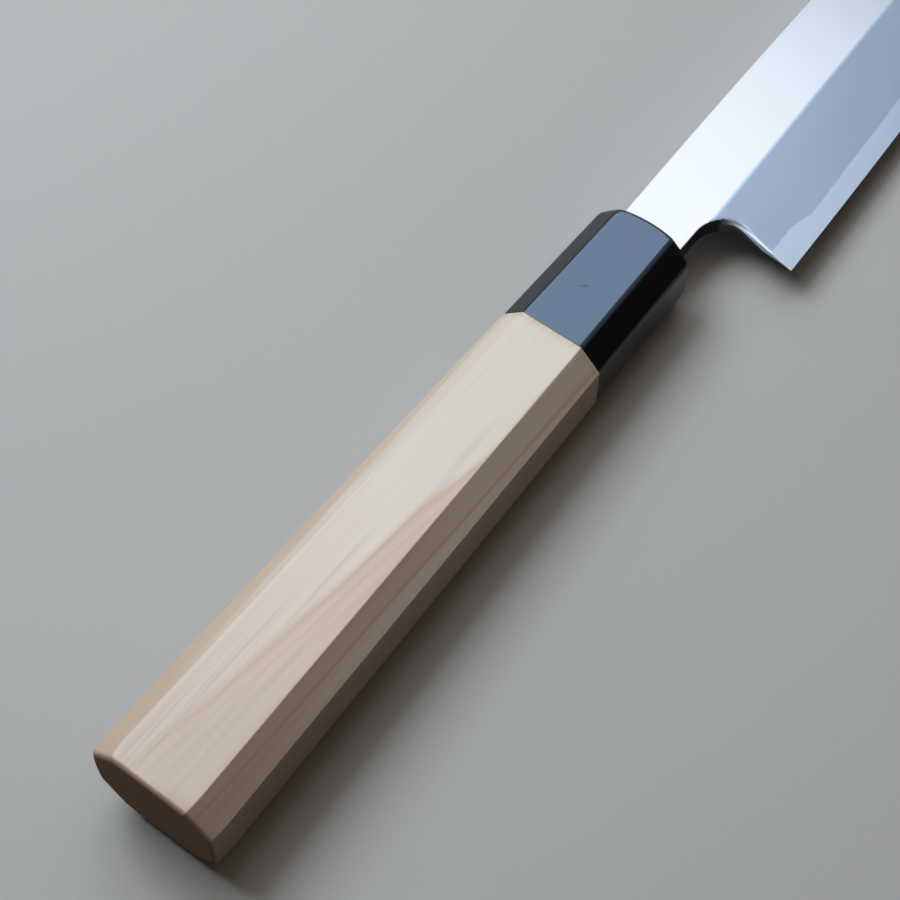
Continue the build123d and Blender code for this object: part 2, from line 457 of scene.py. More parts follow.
@dataclass(frozen=True)
class MagnoliaFinish(Finish):
    """Fine pale magnolia, planed and waxed, with its growth layers nearly level across the handle."""

    name: str = "magnolia_wood"
    sapwood: Triple = (0.70, 0.61, 0.52)
    heartwood: Triple = (0.60, 0.455, 0.345)
    late_wood: Triple = (0.52, 0.30, 0.18)
    grey_wood: Triple = (0.45, 0.36, 0.30)
    end_grain: Triple = (0.28, 0.17, 0.10)
    glue: Triple = (0.52, 0.43, 0.27)
    # The tone of the painted shade towards the butt.
    painted_rear_shade_tone: Triple = (0.36, 0.25, 0.165)
    knot: Triple = (0.12, 0.07, 0.04)
    sheen: Triple = (0.88, 0.94, 1.0)
    gloss: float = 0.55
    layer_tilt: Triple = (0.028, 0.174, 0.985)
    warps: tuple[tuple[Noise, float], ...] = (
        (Noise((9, 60, 60)), 1.5 * MM), (Noise((22, 420, 420)), 0.22 * MM)
    )
    upper_sapwood: Span = (10.67 * MM, 11.02 * MM)
    lower_sapwood: Span = (6.55 * MM, 7.05 * MM, 0.75, 0.0)
    clouds: Noise = Noise((18, 90, 90))
    cloudiness: float = 0.5
    # Painted light: the figure turns paler towards the front.
    painted_light_forward: Span = (5 * MM, 90 * MM, -0.7, 0.25)
    streaks: Noise = Noise((5, 300, 300), 3, 0.55, -0.03)
    streaked: Span = (0.48, 0.68, 0.0, 0.3)
    lower_line: GrowthLine = GrowthLine(7.05, 0.7, 0.5)
    upper_lines: tuple[GrowthLine, ...] = (
        GrowthLine(10.72, 0.22, 0.42), GrowthLine(10.34, 0.16, 0.24),
        GrowthLine(9.92, 0.3, 0.2), GrowthLine(9.22, 0.25, 0.16),
    )
    lined_side: Span = (6.5 * MM, 9 * MM, 1.0, 0.1)
    grey_line: GrowthLine = GrowthLine(11.22, 0.6, 0.3)
    fibres: Noise = Noise((14, 1100, 1100), 4, 0.65)
    fibres_in_line: Span = (0.42, 0.62)
    fibres_greyed: Span = (0.45, 0.85, 0.0, 0.2)
    pores: Noise = Noise((300, 2400, 2400), 3, 0.6)
    # Painted shade: the wood darkens towards the butt.
    painted_rear_shade: Span = (4 * MM, 42 * MM, 0.24, 0.0)
    sawn: Span = (0.15 * MM, 1.1 * MM, 0.85, 0.0)
    end_pores: Span = (0.2, 0.7, 0.75, 1.0)
    glued: Span = (111.6 * MM, 113.4 * MM)
    glue_pores: Span = (0.35, 0.65, 0.1, 0.8)
    planed_roughness: Span = (0.3, 0.75, 0.32, 0.44)
    sawn_roughness: Span = (0.1 * MM, 0.8 * MM, 0.95, 0.0)
    relief: Pair = (0.02 * MM, 0.6)
    knot_share: float = 0.8
    knots: tuple[Speck, ...] = (Speck((64, -9.5, 7.2), 0.3), Speck((82.7, 9.4, 7.0), 0.28))

    def paint(self, graph: Graph) -> None:
        """Paint the figure, then the fibres, the painted shade towards the butt, the end grain, the glue line
        and the knots.
        """
        fibres, pores = graph.noise(self.fibres), graph.noise(self.pores)
        sawn = graph.maths("MULTIPLY", graph.span(graph.x, *self.sawn), graph.span(pores, *self.end_pores))
        glued = graph.maths("MULTIPLY", graph.span(graph.x, *self.glued), graph.span(pores, *self.glue_pores))
        layers = [
            (graph.span(fibres, *self.fibres_greyed), self.grey_wood),
            # Painted shade towards the butt.
            (graph.span(graph.x, *self.painted_rear_shade), self.painted_rear_shade_tone),
            (sawn, self.end_grain),
            (glued, self.glue),
        ]
        for knot in self.knots:
            layers.append((graph.maths("MULTIPLY", knot.mask(graph), self.knot_share), self.knot))
        colour = self.figure(graph, fibres)
        for share, tone in layers:
            colour = graph.blend(share, colour, tone)
        rough = graph.span(fibres, *self.planed_roughness)
        rough = graph.maths("MAXIMUM", rough, graph.span(graph.x, *self.sawn_roughness))
        graph.set(Base_Color=colour, Roughness=rough, Specular_IOR_Level=self.gloss, Specular_Tint=self.sheen)
        graph.bump(fibres, *self.relief)

    def figure(self, graph: Graph, fibres: Socket) -> Socket:
        """Give the colour of heartwood between two paler borders, with its warm streaks and growth lines, and
        painted light that makes it paler towards the front.
        """
        level = self.height_through_layers(graph)
        above = graph.span(level, *self.upper_sapwood)
        pale = graph.maths("MAXIMUM", above, graph.span(level, *self.lower_sapwood))
        pale = graph.maths("ADD", pale, graph.swing(self.clouds, self.cloudiness))
        # Painted light: paler towards the front.
        pale = graph.maths("ADD", pale, graph.span(graph.x, *self.painted_light_forward), clamped=True)
        colour = graph.blend(pale, self.heartwood, self.sapwood)
        streaks = graph.span(graph.noise(self.streaks), *self.streaked)
        warm = graph.maths("MULTIPLY", streaks, graph.maths("SUBTRACT", 1.0, above))
        colour = graph.blend(warm, colour, self.late_wood)
        lines = self.lower_line.mask(graph, level)
        lined = graph.span(graph.y, *self.lined_side)
        for line in self.upper_lines:
            lines = graph.maths("MAXIMUM", lines, graph.maths("MULTIPLY", line.mask(graph, level), lined))
        colour = graph.blend(lines, colour, self.late_wood)
        grey = self.grey_line.mask(graph, level)
        grey = graph.maths("MULTIPLY", grey, graph.span(fibres, *self.fibres_in_line))
        return graph.blend(grey, colour, self.grey_wood)

    def height_through_layers(self, graph: Graph) -> Socket:
        """Give the height through the growth layers, warped a little by the way the tree grew."""
        level = graph.measure("DOT_PRODUCT", graph.place, self.layer_tilt)
        for pattern, reach in self.warps:
            level = graph.maths("ADD", level, graph.swing(pattern, reach))
        return level


@dataclass(frozen=True)
class HornFinish(Finish):
    """Polished black buffalo horn, with faint greyer streaks, painted shade on the gloss of its sides and a
    painted blue tint on its reflections.
    """

    name: str = "buffalo_horn"
    body: Triple = (0.0035, 0.0036, 0.004)
    streak: Triple = (0.008, 0.0075, 0.0075)
    # Painted reflection: a blue tint on the horn's gloss, in place of cool light that it mirrors.
    painted_reflection_tint: Triple = (0.53, 0.70, 1.0)
    refraction: float = 1.6
    streaks: Noise = Noise((25, 260, 260), 4, 0.6)
    streaked: Span = (0.5, 0.8)
    clouds: Noise = Noise((60, 120, 120), 3)
    polish: Span = (0.35, 0.7, 0.13, 0.20)
    gloss_with_painted_side_shade: Span = (0.75, 0.95, 0.3, 1.0)
    grain: Noise = Noise((700, 1100, 1100), 1)
    relief: Pair = (0.004 * MM, 0.25)
    speck_roughness: float = 0.4
    specks: tuple[Speck, ...] = (
        Speck((125.0, 1.45, 9.3), 0.38), Speck((125.4, 0.9, 9.3), 0.5), Speck((125.75, 0.45, 9.3), 0.36)
    )

    def paint(self, graph: Graph) -> None:
        """Paint the horn's body, its polish and its specks."""
        streaks = graph.span(graph.noise(self.streaks), *self.streaked)
        rough = graph.span(graph.noise(self.clouds), *self.polish)
        marks = 0.0
        for speck in self.specks:
            marks = graph.maths("MAXIMUM", marks, speck.mask(graph))
        facing = graph.add("ShaderNodeNewGeometry").outputs["Normal"]
        upwards = graph.add("ShaderNodeSeparateXYZ", {0: facing}).outputs["Z"]
        graph.set(Base_Color=graph.blend(streaks, self.body, self.streak), Specular_Tint=self.painted_reflection_tint)
        graph.set(Roughness=graph.maths("MULTIPLY_ADD", marks, self.speck_roughness, rough))
        # Painted shade: less gloss on faces turned sideways or down.
        graph.set(Specular_IOR_Level=graph.span(upwards, *self.gloss_with_painted_side_shade), IOR=self.refraction)
        graph.bump(graph.noise(self.grain), *self.relief)


@dataclass(frozen=True)
class ResinFinish(Finish):
    """Dark, mottled resin."""

    name: str = "seal_resin"
    dark: Triple = (0.02, 0.016, 0.012)
    light: Triple = (0.04, 0.032, 0.024)
    mottle: Noise = Noise((400, 400, 400), 3)
    roughness: float = 0.5
    relief: Pair = (0.03 * MM, 0.5)

    def paint(self, graph: Graph) -> None:
        """Paint the mottle."""
        mottle = graph.noise(self.mottle)
        graph.set(Base_Color=graph.blend(mottle, self.dark, self.light), Roughness=self.roughness)
        graph.bump(mottle, *self.relief)


class BladeZone(Enum):
    """The differently finished surfaces of the blade, in the order of its material slots."""

    FLAT = 0
    BEVEL = 1
    WALL = 2
    BACK = 3
    TANG = 4


@dataclass(frozen=True)
class SteelFinish(Finish):
    """A ground steel surface with scratches along the blade."""

    colour: Triple
    roughness: float
    scratch: float
    haze: float
    grain: float = 0.15
    scratches: Noise = Noise((3, 3200, 3200), 3, 0.6)
    scratched: Pair = (0.3, 0.7)
    scratch_depth: float = 0.004 * MM
    patches: Noise = Noise((22, 70, 70), 3)

    def paint(self, graph: Graph) -> None:
        """Paint the bare metal, its scratches and its haze."""
        scratches = graph.noise(self.scratches)
        rough = graph.span(scratches, *self.scratched, self.roughness, self.roughness * (1 + self.grain))
        rough = graph.maths("ADD", graph.swing(self.patches, self.haze), rough)
        graph.set(Metallic=1.0, Roughness=rough, Base_Color=self.shade(graph))
        graph.bump(scratches, self.scratch_depth, self.scratch)

    def shade(self, graph: Graph) -> Triple | Socket:
        """Give the metal's colour."""
        return self.colour


@dataclass(frozen=True)
class FlatFinish(SteelFinish):
    """The finely ground flat, painted darker and bluer towards the tip: painted shade in place of the dimmer,
    bluer light that it mirrors there.
    """

    name: str = "iron_flat"
    colour: Triple = (0.402, 0.388, 0.378)
    roughness: float = 0.24
    scratch: float = 0.002
    haze: float = 0.02
    grain: float = 0.02
    # Painted shade: the darker, bluer tone towards the tip, in place of the reflection falling off.
    far: Triple = (0.374, 0.384, 0.416)
    painted_shade_reach: Span = (158 * MM, 222 * MM)

    def shade(self, graph: Graph) -> Socket:
        """Give the colour from the ferrule to the tip, with its painted shade towards the tip."""
        return graph.blend(graph.span(graph.x, *self.painted_shade_reach), self.colour, self.far)


@dataclass(frozen=True)
class WallFinish(SteelFinish):
    """A narrow side drawn over a belt, whose lines run along it and spread what it mirrors up and down.

    The choil's wall has a straight rim, from a foot to a head that are given as (height Y, level Z).
    """

    name: str = "drawn_side"
    # Paler and bluer than the other steel: a painted highlight on the narrow sides, strongest in the choil's
    # bright band.
    colour: Triple = (0.77, 0.84, 0.98)
    roughness: float = 0.54
    scratch: float = 0.05
    haze: float = 0.0
    foot: Pair = (0.0, 0.0)
    head: Pair = (0.0, 0.0)
    spread: float = 0.6
    spread_turn: float = 0.25
    # Painted shade: a near black below the neck and low on the choil's wall, in place of the dark shadow
    # mirrored there.
    scale: Triple = (0.03, 0.032, 0.04)
    # How deep under the choil's rim the painted shade sets in.
    drawn: Span = (0.9 * MM, 1.2 * MM, 0.0, 0.9)
    below_neck: Span = (-12 * MM, -8 * MM)
    lower_side: Span = (-5 * MM, -3 * MM, 1.0, 0.0)

    def paint(self, graph: Graph) -> None:
        """Paint the metal, with the belt's lines along the side."""
        super().paint(graph)
        tangent = graph.add("ShaderNodeTangent", direction_type="RADIAL", axis="Z").outputs["Tangent"]
        graph.set(Anisotropic=self.spread, Anisotropic_Rotation=self.spread_turn, Tangent=tangent)

    def shade(self, graph: Graph) -> Socket:
        """Paint dark shade below the neck, and on the choil's wall deeper under its rim, in place of the dark
        shadow that these places mirror.
        """
        rim = graph.span(graph.y, self.foot[0], self.head[0], self.foot[1], self.head[1])
        deep = graph.span(graph.maths("SUBTRACT", rim, graph.z), *self.drawn)
        # Painted shade where the neck's underside and the choil's lower wall face the shadow.
        painted_dark_share = graph.maths("MAXIMUM", graph.span(graph.y, *self.below_neck), deep)
        painted_dark_share = graph.maths("MULTIPLY", painted_dark_share, graph.span(graph.y, *self.lower_side))
        return graph.blend(painted_dark_share, self.colour, self.scale)


@dataclass(frozen=True)
class BevelFinish(SteelFinish):
    """The satin bevel, where the hard steel shows as a lighter band with a wandering border."""

    name: str = "welded_bevel"
    # The blue in the bevel's and the band's colours is painted reflection of cool light; the band's lighter
    # tone is the hard steel's own.
    colour: Triple = (0.40, 0.483, 0.618)
    roughness: float = 0.36
    scratch: float = 0.08
    haze: float = 0.05
    band: Triple = (0.565, 0.665, 0.825)
    border: float = 0.0
    border_blur: float = 0.05 * MM
    wander: Noise = Noise((75, 4, 4), 3, 0.55)
    wander_reach: float = 0.2 * MM
    drop: Span = (167.5 * MM, 174.5 * MM, -0.07 * MM, 0.24 * MM)
    clouds: Noise = Noise((30, 140, 140), 4, 0.6)
    cloudiness: float = 0.25
    # Painted shade: a little darker towards the tip.
    painted_shade_forward: Span = (165 * MM, 220 * MM, 0.0, 0.1)

    def shade(self, graph: Graph) -> Socket:
        """Give the colour across the weld, clouded, and with painted shade that darkens it a little towards
        the tip.
        """
        wander = graph.swing(self.wander, self.wander_reach)
        height = graph.maths("ADD", graph.z, graph.maths("ADD", wander, graph.span(graph.x, *self.drop)))
        iron = graph.span(height, self.border - self.border_blur, self.border + self.border_blur)
        clouded = graph.maths("ADD", iron, graph.swing(self.clouds, self.cloudiness))
        metal = graph.blend(clouded, self.band, self.colour)
        return graph.blend(graph.span(graph.x, *self.painted_shade_forward), metal, BLACK)


@dataclass(frozen=True)
class BarEnd:
    """A bar's rounded end: a quarter-round rim, and corners that fall away before it towards an oval."""

    station: float
    radius: float
    relief: float = 0.0
    oval: float = 0.0
    relief_steps: int = 4
    rim_steps: int = 7

    @property
    def start(self) -> float:
        """Give how far before the end the rounding starts."""
        return max(self.radius, self.relief)

    def profile(self) -> list[Triple]:
        """Give the rounding's steps: the distance from the end, the inset and the share of the oval."""
        places = [
            (self.start + (self.radius - self.start) * step / self.relief_steps, 0.0)
            for step in range(self.relief_steps if self.relief > self.radius else 0)
        ]
        for step in range(self.rim_steps + 1):
            angle = math.pi / 2 * step / self.rim_steps
            places.append((self.radius * (1 - math.sin(angle)), self.radius * (1 - math.cos(angle))))
        return [(gap, inset, self.oval * (1 - gap / self.start) ** 2) for gap, inset in places]


@dataclass
class HandleTaper:
    """The eight-sided taper that the wood and the ferrule share, and the joint between them."""

    length: float = FACE
    butt: Triple = (26.8 * MM, 20.3 * MM, 5.0 * MM)
    front: Triple = (21.1 * MM, 18.3 * MM, 4.4 * MM)
    cuts: int = 2
    joint: BarEnd = BarEnd(113.5 * MM, 0.1 * MM)
    bore_points: int = 64

    def size(self, station: float) -> Triple:
        """Give the height, the thickness and the corner's leg at a station."""
        return between(self.butt, self.front, station / self.length)

    def bar(self, name: str, rear: BarEnd, front: BarEnd, ridge: float) -> Bench:
        """Plane a block to the taper, ease its ridges and round its ends.

        Args:
            name: The name of the piece that it becomes.
            rear: Its rear end.
            front: Its front end.
            ridge: The radius of its ridges.

        Returns:
            The bench that holds the bar.
        """
        bench = Bench(name)
        first, last = rear.station + rear.start, front.station - front.start
        height, thickness, corner = self.size(first)
        far_height, far_thickness, far_corner = self.size(last)
        half = Vector((0, height / 2, thickness / 2))
        bench.start_block(Vector((first, 0, 0)) - half, Vector((last, 0, 0)) + half)
        bench.pick(Kind.POINTS, lambda point: point.co.x > last - NEAR)
        bench.resize(far_height / height, far_thickness / thickness, Vector((last, 0, 0)))
        for side in (1, -1):
            for face in (1, -1):
                low = Vector((first, side * height / 2, face * (thickness / 2 - corner)))
                high = Vector((first, side * (height / 2 - corner), face * thickness / 2))
                far = Vector((last, side * far_height / 2, face * (far_thickness / 2 - far_corner)))
                normal = (high - low).cross(far - low)
                bench.cut(low, normal * math.copysign(1, normal.y * side), part=True)
        bench.pick(Kind.EDGES, runs_along)
        bench.bevel(ridge * math.tan(RIDGE_TURN / 2), RIDGE_SEGMENTS)
        self.divide(bench, first, last)
        self.round_end(bench, rear, -1)
        self.round_end(bench, front, 1)
        return bench

    def divide(self, bench: Bench, first: float, last: float) -> None:
        """Divide the flats of a bar along the handle, so that its ends at two stations can be rounded."""
        height, thickness, corner = self.size(last)
        for part in range(-self.cuts, self.cuts + 1):
            share = part / (self.cuts + 1)
            bench.cut(Vector((0, share * (height / 2 - corner), 0)), Vector((0, 1, 0)))
            bench.cut(Vector((0, 0, share * (thickness / 2 - corner))), Vector((0, 0, 1)))
        for side in (1, -1):
            bench.cut(Vector((0, 0, 0)), Vector((0, thickness - corner, side * (height - corner))))
        for station in (first, last):
            bench.pick_end(station)
            bpy.ops.mesh.dissolve_faces()

    def round_end(self, bench: Bench, end: BarEnd, towards: int) -> None:
        """Close a bar that stops short of its end.

        Args:
            bench: The bench that holds the bar.
            end: The end.
            towards: +1 for a front end, -1 for a rear end.
        """
        station, steps = end.station, end.profile()
        height, thickness, _ = self.size(station)
        for (gap, inset, oval), (next_gap, next_inset, next_oval) in zip(steps, steps[1:]):
            bench.pick_end(station - towards * gap)
            bench.extrude(Vector((towards * (gap - next_gap), 0, 0)))
            half = (height / 2 - next_inset, thickness / 2 - next_inset)
            bench.resize(
                half[0] / (height / 2 - inset), half[1] / (thickness / 2 - inset), Vector((station, 0, 0))
            )
            if next_oval > 0:
                self.turn_oval(bench, station - towards * next_gap, half, (next_oval - oval) / (1 - oval))

    @staticmethod
    def turn_oval(bench: Bench, station: float, half: Pair, share: float) -> None:
        """Draw a section's corners in towards the oval that fits in it, by a share of the way."""

        def target(place: Vector) -> Vector:
            """Give where a point of the section goes."""
            excess = math.hypot(place.y / half[0], place.z / half[1]) ** -share
            return Vector((place.x, place.y * excess, place.z * excess))

        bench.place(at(station), target)


@dataclass
class TangFit:
    """The tang's taper and what it passes through, which the blade, the wood and the seal share."""

    length: float = 98 * MM
    root: Pair = (9.4 * MM, 3.4 * MM)
    tail: Pair = (4.0 * MM, 1.8 * MM)
    clearance: float = 0.12 * MM
    spare: float = 4 * MM
    seal_depth: float = 2.5 * MM
    seal_border: float = 1.1 * MM
    seal_corner: float = 1.0 * MM
    corner_segments: int = 4
    tang_corner: float = 0.05 * MM

    def seal_loop(self) -> Action:
        """Make the action that adds the seal's outline at a station."""
        height, thickness = (size + 2 * self.seal_border for size in self.root)
        return add_rectangle(height, thickness, self.seal_corner, self.corner_segments)

    def size(self, depth: float) -> Pair:
        """Give the tang's height and thickness at a depth behind the handle's face."""
        return between(self.root, self.tail, depth / self.length)


@dataclass
class WoodHandle:
    """The wooden handle with its round tenon and the hole for the tang."""

    taper: HandleTaper
    tang: TangFit
    finish: MagnoliaFinish = MagnoliaFinish()
    ridge: float = 0.35 * MM
    butt: BarEnd = BarEnd(0.0, 0.9 * MM, 4.0 * MM, 0.25)
    tenon_radius: float = 7 * MM

    def build(self) -> bpy.types.Object:
        """Model and dress the handle."""
        taper, joint = self.taper, self.taper.joint
        bench = taper.bar("magnolia_handle", self.butt, joint, self.ridge)
        bench.open_onto(joint.station, add_circle(self.tenon_radius, taper.bore_points))
        bench.pick_opening()
        bench.extrude(Vector((taper.length - joint.station, 0, 0)))
        self.sink_hole(bench)
        return bench.finish(self.finish.material())

    def sink_hole(self, bench: Bench) -> None:
        """Close the tenon's end with the mouth for the seal and burn the tang's hole behind it."""
        tang = self.tang
        bench.fill_round(self.taper.length, tang.seal_loop())
        bench.pick_opening()
        bench.extrude(Vector((-tang.seal_depth, 0, 0)))
        bpy.ops.mesh.edge_face_add()
        floor = Vector((self.taper.length - tang.seal_depth, 0, 0))
        mouth = [size + 2 * tang.seal_border for size in tang.root]
        depths = (tang.seal_depth, tang.length)
        hole, end = ([size + 2 * tang.clearance for size in tang.size(depth)] for depth in depths)
        bench.extrude(Vector((0, 0, 0)))
        bench.resize(hole[0] / mouth[0], hole[1] / mouth[1], floor)
        bench.extrude(Vector((tang.seal_depth - tang.length - tang.spare, 0, 0)))
        bench.resize(end[0] / hole[0], end[1] / hole[1], floor)


@dataclass
class HornFerrule:
    """The horn ferrule, bored through for the tenon, with a bowed front face and a rounded rim."""

    taper: HandleTaper
    finish: HornFinish = HornFinish()
    ridge: float = 1.8 * MM
    front: BarEnd = BarEnd(FACE, 1.0 * MM, 3.4 * MM, 0.25)
    bow: float = 1.15 * MM
    bore_radius: float = 7.05 * MM

    def build(self) -> bpy.types.Object:
        """Model and dress the ferrule."""
        taper, joint, front = self.taper, self.taper.joint, self.front
        bench = taper.bar("horn_collar", joint, front, self.ridge)
        bench.pierce(joint.station, front.station, add_circle(self.bore_radius, taper.bore_points))
        bench.place(lambda place: place.x > front.station - front.start + NEAR, self.bowed)
        return bench.finish(self.finish.material())

    def bowed(self, place: Vector) -> Vector:
        """Give where a point near the front goes, so that the face bows forward round the bore."""
        height, thickness, corner = self.taper.front
        widest = math.hypot(height / 2 - corner, thickness / 2)
        across = max(0.0, (math.hypot(place.y, place.z) - self.bore_radius) / (widest - self.bore_radius))
        along = 1 - (self.front.station - place.x) / self.front.start
        return Vector((place.x - self.bow * across**2 * along**2, place.y, place.z))


@dataclass
class Seal:
    """The resin seal poured round the tang in the mouth of its hole."""

    taper: HandleTaper
    tang: TangFit
    finish: ResinFinish = ResinFinish()

    def build(self) -> bpy.types.Object:
        """Model and dress the seal."""
        bench = Bench("resin_seal")
        front = self.taper.length
        rear = front - self.tang.seal_depth
        half = Vector((0, *(size / 2 + self.tang.seal_border for size in self.tang.root)))
        bench.start_block(Vector((rear, 0, 0)) - half, Vector((front, 0, 0)) + half)
        bench.pick(Kind.EDGES, runs_along)
        bench.bevel(self.tang.seal_corner, self.tang.corner_segments)
        bench.pierce(rear, front, self.tang_loop)
        return bench.finish(self.finish.material())

    def tang_loop(self, station: float) -> None:
        """Add the tang's outline at a station."""
        height, thickness = self.tang.size(self.taper.length - station)
        add_rectangle(height, thickness, self.tang.tang_corner, 1)(station)


@dataclass
class BladeLines:
    """The lines that shape the blade: spine, edge, ridge, the notch of the choil and the thickness."""

    face: float = FACE
    length: float = 269 * MM
    thickness: float = 4.1 * MM
    distal_taper: float = 2.4 * MM
    neck_above: float = 7.65 * MM
    spine_rise: float = 6.5 * MM
    spine_arch: float = 10.2 * MM
    tip_above: float = 0.2 * MM
    neck_below: float = 6.4 * MM
    neck_length: float = 15.2 * MM
    choil_radius: float = 6.5 * MM
    heel_lean: float = 1.3 * MM
    heel_below: float = 25.12 * MM
    edge_rise: float = 3.7 * MM
    edge_belly: float = 12.9 * MM
    ridge_below: float = 7.45 * MM
    ridge_rise: float = 6.9 * MM
    ridge_sweep: float = 4.2 * MM
    tip_bend_power: int = 8
    belly_power: int = 2
    sweep_power: int = 10
    eased: float = 0.3 * MM
    choil_eased: float = 1.5 * MM
    blunt: float = 0.4 * MM
    settle_steps: int = 12
    halvings: int = 48

    def __post_init__(self) -> None:
        """Work out the places that follow from the sizes."""
        self.tip = self.face + self.length
        self.choil = self.face + self.neck_length
        self.heel = self.choil - self.heel_lean
        self.back = -self.thickness / 2
        self.lean = self.heel_lean / (self.heel_below - self.neck_below)
        corner_angle = math.pi / 2 - math.atan(self.lean)
        self.arc_start = self.choil - self.choil_radius / math.tan(corner_angle / 2)
        self.arc_height = -self.neck_below - self.choil_radius
        self.arc_end = self.arc_height - self.choil_radius * math.sin(math.atan(self.lean))
        self.ridge_start = self.arc_start + self.choil_radius / 2
        for _ in range(self.settle_steps):
            self.ridge_start = self.notch(self.ridge(self.ridge_start))
        self.crossing = self.settle(lambda x: self.spine(x) - self.ridge(x))

    def settle(self, gap: Callable[[float], float]) -> float:
        """Find the last station before the tip at which a gap that closes towards it is gone."""
        low, high = self.face + self.length / 2, self.tip
        for _ in range(self.halvings):
            half = (low + high) / 2
            low, high = (half, high) if gap(half) > 0 else (low, half)
        return low

    def share(self, station: float) -> float:
        """Give how far a station lies from the handle's face to the tip."""
        return (station - self.face) / self.length

    def spine(self, station: float) -> float:
        """Give the spine's height."""
        share = self.share(station)
        bend = self.neck_above + self.spine_rise - self.spine_arch - self.tip_above
        straight = self.neck_above + self.spine_rise * share
        return straight - self.spine_arch * share**self.belly_power - bend * share**self.tip_bend_power

    def edge(self, station: float) -> float:
        """Give the cutting edge's height."""
        share = max(0.0, (station - self.heel) / (self.tip - self.heel))
        sweep = self.heel_below + self.tip_above - self.edge_rise - self.edge_belly
        straight = self.edge_rise * share - self.heel_below
        return straight + self.edge_belly * share**self.belly_power + sweep * share**self.sweep_power

    def ridge(self, station: float) -> float:
        """Give the height of the ridge between the flat and the bevel."""
        share = self.share(station)
        return self.ridge_rise * share - self.ridge_below + self.ridge_sweep * share**self.tip_bend_power

    def flat(self, station: float) -> float:
        """Give the level of the flat."""
        return self.back + self.thickness - self.distal_taper * self.share(station)

    def rise(self, station: float, height: float) -> float:
        """Give how far up the bevel a place lies, from 0 at the edge to 1 at the ridge and above it."""
        edge = self.edge(station)
        return clamp((height - edge) / (self.ridge(station) - edge))

    def level(self, station: float, height: float) -> float:
        """Give the level of the bevelled face at a place."""
        return self.back + self.rise(station, height) * (self.flat(station) - self.back)

    def notch(self, height: float) -> float:
        """Give the station of the choil's wall at a height."""
        if height < self.arc_end:
            return self.choil + (height + self.neck_below) * self.lean
        reach = min(self.choil_radius, height - self.arc_height)
        return self.arc_start + math.sqrt(self.choil_radius**2 - reach**2)

    def rim_distance(self, place: Vector) -> float:
        """Give how far a place lies from the nearest eased line: the spine, the neck's side or the choil."""
        if place.y < self.arc_end:
            lower = (place.x - self.notch(place.y)) * math.cos(math.atan(self.lean))
        elif place.x < self.arc_start:
            lower = place.y + self.neck_below
        else:
            lower = math.hypot(place.x - self.arc_start, place.y - self.arc_height) - self.choil_radius
        return max(0.0, min(self.spine(place.x) - place.y, lower))

    def ease(self, place: Vector, room: float) -> float:
        """Give how far an eased edge falls away at a place in plan, where the metal has room for a radius."""
        round_choil = clamp((-self.ridge_below - place.y) / (self.choil_radius / 2))
        radius = min(self.eased + (self.choil_eased - self.eased) * round_choil, room)
        inwards = max(0.0, radius - self.rim_distance(place))
        return radius - math.sqrt(max(0.0, radius**2 - inwards**2))

    def neck_bottom(self, station: float) -> float:
        """Give the height of the flat's lower border: the neck's side, the arc and then the ridge."""
        if station <= self.arc_start:
            return -self.neck_below
        if station < self.ridge_start:
            return self.arc_height + math.sqrt(self.choil_radius**2 - (station - self.arc_start) ** 2)
        return self.ridge(station)


@dataclass
class Hollow:
    """The shallow hollow ground into the back, and the flat rims left round it."""

    lines: BladeLines
    depth: float = 0.35 * MM
    spine_rim: float = 2.2 * MM
    edge_rim: float = 1.6 * MM
    heel_gap: float = 5 * MM
    tip_gap: float = 14 * MM
    swell_power: int = 4
    least_spread: float = 0.28

    def __post_init__(self) -> None:
        """Work out where the hollow begins and ends."""
        self.first = self.lines.choil + self.heel_gap
        self.last = self.lines.tip - self.tip_gap

    def swell(self, station: float) -> float:
        """Give how full the hollow is at a station, from 0 at its ends to 1."""
        share = (station - self.first) / (self.last - self.first)
        return math.sqrt(max(0.0, 1 - abs(2 * share - 1) ** self.swell_power))

    def border(self, station: float) -> Pair:
        """Give the heights of the hollow's borders on the spine's and on the edge's side."""
        low = self.lines.edge(station) + self.edge_rim
        high = self.lines.spine(station) - self.spine_rim
        reach = (high - low) / 2 * max(self.least_spread, self.swell(station))
        return (low + high) / 2 + reach, (low + high) / 2 - reach

    def point(self, station: float, share: float) -> Vector:
        """Give a place in the hollow by its share of the way from the spine's rim to the edge's rim."""
        high, low = self.border(station)
        rise = self.depth * self.swell(station) * (1 - (1 - 2 * share) ** 2)
        return Vector((station, high + (low - high) * share, self.lines.back + rise))

    def on_border(self, place: Vector) -> bool:
        """Tell whether a place lies on the hollow's border."""
        if not self.first - NEAR < place.x < self.last + NEAR or place.z > self.lines.back + NEAR:
            return False
        return min(abs(place.y - height) for height in self.border(place.x)) < NEAR


